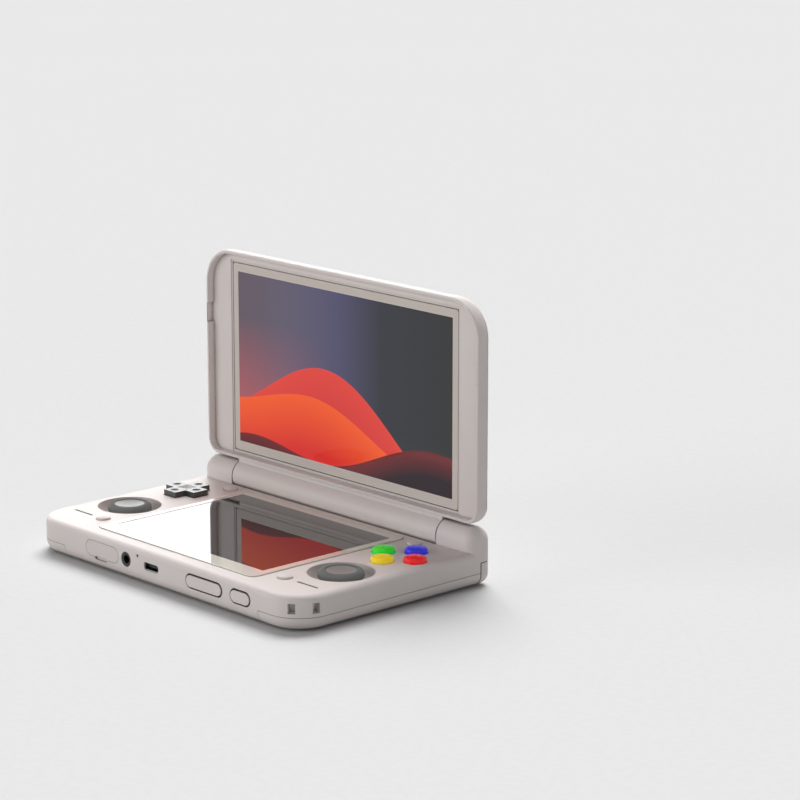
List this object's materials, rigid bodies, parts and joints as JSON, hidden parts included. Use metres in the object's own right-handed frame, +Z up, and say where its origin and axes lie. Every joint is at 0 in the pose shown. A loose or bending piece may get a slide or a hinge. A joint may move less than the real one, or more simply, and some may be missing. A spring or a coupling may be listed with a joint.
{
  "type": "clamshell handheld game console",
  "caption": "Clamshell handheld game console: hinged lid with a wide screen, base with a second screen, thumb sticks, cross pad, face buttons, shoulder buttons, triggers and front ports.",
  "frame": {"origin": "middle of the footprint of the whole part at rest, lid upright, on the surface it stands on", "axes": "+X to the right of the player, +Y to the back, where the hinge is, +Z up"},
  "size_m": [0.1686, 0.1078, 0.1167],
  "materials": {
    "housing": "fine matt texture, warm light grey",
    "small_buttons": "satin, warm light grey",
    "lower_glass": "glossy, dark, with a printed border of light grey",
    "upper_glass": "glossy, with a lit picture behind it",
    "display_module": "satin black",
    "circuit_board": "satin solder mask",
    "battery": "satin foil",
    "inner_plastic": "moulded, matt black",
    "heat_sink": "milled fins",
    "plated_metal": "plated sheet",
    "stick_rubber": "matt, knurled rim",
    "cross_plastic": "satin",
    "membrane": "translucent grey silicone",
    "green_button": "glossy dome",
    "blue_button": "glossy dome",
    "red_button": "glossy dome",
    "yellow_button": "glossy dome",
    "card_cover": "matt, firm",
    "feet": "matt",
    "screw_steel": "plain",
    "hinge_steel": "plain",
    "cable_film": "amber film"
  },
  "bodies": {
    "base": {"base_top_shell": "housing", "base_bottom_shell": "housing", "lower_glass": "lower_glass", "lower_display": "display_module", "mainboard": "circuit_board", "left_control_board": "circuit_board", "right_control_board": "circuit_board", "battery": "battery", "fan_housing": "inner_plastic", "heat_sink": "heat_sink", "left_stick_module": "inner_plastic", "right_stick_module": "inner_plastic", "cross_pad_bracket": "inner_plastic", "left_membranes": "membrane", "right_membranes": "membrane", "edge_switches": "plated_metal", "card_socket": "plated_metal", "headphone_jack": "inner_plastic", "charging_port": "plated_metal", "left_speaker": "inner_plastic", "right_speaker": "inner_plastic", "rubber_feet": "feet", "base_screws": "screw_steel", "left_hinge_unit": "hinge_steel", "right_hinge_unit": "hinge_steel"},
    "lid": {"lid_frame": "housing", "lid_back_cover": "housing", "hinge_cover": "housing", "upper_glass": "upper_glass", "upper_display": "display_module", "display_cable": "cable_film", "lid_screws": "screw_steel", "left_hinge_arm": "hinge_steel", "right_hinge_arm": "hinge_steel"},
    "left_stick_gimbal": {"left_stick_gimbal": "plated_metal"},
    "right_stick_gimbal": {"right_stick_gimbal": "plated_metal"},
    "left_stick": {"left_stick": "stick_rubber"},
    "right_stick": {"right_stick": "stick_rubber"},
    "cross_pad_spider": {"cross_pad_spider": "plated_metal"},
    "cross_pad": {"cross_pad": "cross_plastic"},
    "left_face_button": {"left_face_button": "green_button"},
    "rear_face_button": {"rear_face_button": "blue_button"},
    "right_face_button": {"right_face_button": "red_button"},
    "front_face_button": {"front_face_button": "yellow_button"},
    "select_button": {"select_button": "small_buttons"},
    "start_button": {"start_button": "small_buttons"},
    "home_button": {"home_button": "small_buttons"},
    "menu_button": {"menu_button": "small_buttons"},
    "left_bumper": {"left_bumper": "housing"},
    "right_bumper": {"right_bumper": "housing"},
    "left_trigger": {"left_trigger": "housing"},
    "right_trigger": {"right_trigger": "housing"},
    "volume_rocker": {"volume_rocker": "housing"},
    "power_button": {"power_button": "housing"},
    "card_cover": {"card_cover": "card_cover"},
    "fan_rotor": {"fan_rotor": "inner_plastic"}
  },
  "joints": [
    {"name": "lid_hinge", "type": "hinge", "parent": "base", "child": "lid", "pos_m": [0, 0.0446, 0.0185], "axis": [1, 0, 0], "range_deg": [-60, 90]},
    {"name": "left_stick_tilt_x", "type": "hinge", "parent": "base", "child": "left_stick_gimbal", "pos_m": [-0.067, -0.0154, 0.0073], "axis": [1, 0, 0], "range_deg": [-14, 14], "stiffness_Nm_per_rad": 0.02},
    {"name": "left_stick_tilt_y", "type": "hinge", "parent": "left_stick_gimbal", "child": "left_stick", "pos_m": [-0.067, -0.0154, 0.0073], "axis": [0, 1, 0], "range_deg": [-14, 14], "stiffness_Nm_per_rad": 0.02},
    {"name": "right_stick_tilt_x", "type": "hinge", "parent": "base", "child": "right_stick_gimbal", "pos_m": [0.067, -0.0154, 0.0073], "axis": [1, 0, 0], "range_deg": [-14, 14], "stiffness_Nm_per_rad": 0.02},
    {"name": "right_stick_tilt_y", "type": "hinge", "parent": "right_stick_gimbal", "child": "right_stick", "pos_m": [0.067, -0.0154, 0.0073], "axis": [0, 1, 0], "range_deg": [-14, 14], "stiffness_Nm_per_rad": 0.02},
    {"name": "cross_pad_tilt_x", "type": "hinge", "parent": "base", "child": "cross_pad_spider", "pos_m": [-0.067, 0.0156, 0.0103], "axis": [1, 0, 0], "range_deg": [-3.5, 3.5], "stiffness_Nm_per_rad": 0.1},
    {"name": "cross_pad_tilt_y", "type": "hinge", "parent": "cross_pad_spider", "child": "cross_pad", "pos_m": [-0.067, 0.0156, 0.0103], "axis": [0, 1, 0], "range_deg": [-3.5, 3.5], "stiffness_Nm_per_rad": 0.1},
    {"name": "left_face_button_press", "type": "slide", "parent": "base", "child": "left_face_button", "axis": [0, 0, -1], "range_m": [0, 0.0009], "stiffness_N_per_m": 1000},
    {"name": "rear_face_button_press", "type": "slide", "parent": "base", "child": "rear_face_button", "axis": [0, 0, -1], "range_m": [0, 0.0009], "stiffness_N_per_m": 1000},
    {"name": "right_face_button_press", "type": "slide", "parent": "base", "child": "right_face_button", "axis": [0, 0, -1], "range_m": [0, 0.0009], "stiffness_N_per_m": 1000},
    {"name": "front_face_button_press", "type": "slide", "parent": "base", "child": "front_face_button", "axis": [0, 0, -1], "range_m": [0, 0.0009], "stiffness_N_per_m": 1000},
    {"name": "select_button_press", "type": "slide", "parent": "base", "child": "select_button", "axis": [0, 0, -1], "range_m": [0, 0.0004], "stiffness_N_per_m": 2500},
    {"name": "start_button_press", "type": "slide", "parent": "base", "child": "start_button", "axis": [0, 0, -1], "range_m": [0, 0.0004], "stiffness_N_per_m": 2500},
    {"name": "home_button_press", "type": "slide", "parent": "base", "child": "home_button", "axis": [0, 0, -1], "range_m": [0, 0.0004], "stiffness_N_per_m": 2500},
    {"name": "menu_button_press", "type": "slide", "parent": "base", "child": "menu_button", "axis": [0, 0, -1], "range_m": [0, 0.0004], "stiffness_N_per_m": 2500},
    {"name": "left_bumper_press", "type": "hinge", "parent": "base", "child": "left_bumper", "pos_m": [-0.0718, 0.0465, 0.0069], "axis": [0, 0, 1], "range_deg": [0, 1.5], "stiffness_Nm_per_rad": 0.5},
    {"name": "right_bumper_press", "type": "hinge", "parent": "base", "child": "right_bumper", "pos_m": [0.0718, 0.0465, 0.0069], "axis": [0, 0, -1], "range_deg": [0, 1.5], "stiffness_Nm_per_rad": 0.5},
    {"name": "left_trigger_press", "type": "hinge", "parent": "base", "child": "left_trigger", "pos_m": [-0.062, 0.0488, 0.0092], "axis": [-1, 0, 0], "range_deg": [0, 6], "stiffness_Nm_per_rad": 0.15},
    {"name": "right_trigger_press", "type": "hinge", "parent": "base", "child": "right_trigger", "pos_m": [0.062, 0.0488, 0.0092], "axis": [-1, 0, 0], "range_deg": [0, 6], "stiffness_Nm_per_rad": 0.15},
    {"name": "volume_rocker_press", "type": "hinge", "parent": "base", "child": "volume_rocker", "pos_m": [0.029, -0.0487, 0.0088], "axis": [0, 0, 1], "range_deg": [-2, 2], "stiffness_Nm_per_rad": 0.4},
    {"name": "power_button_press", "type": "slide", "parent": "base", "child": "power_button", "axis": [0, 1, 0], "range_m": [0, 0.0004], "stiffness_N_per_m": 2500},
    {"name": "card_cover_pull", "type": "slide", "parent": "base", "child": "card_cover", "axis": [0, -1, 0], "range_m": [0, 0.006]},
    {"name": "fan_spin", "type": "hinge", "parent": "base", "child": "fan_rotor", "pos_m": [0.029, 0.0154, 0.0079], "axis": [0, 0, 1], "continuous": true}
  ]
}
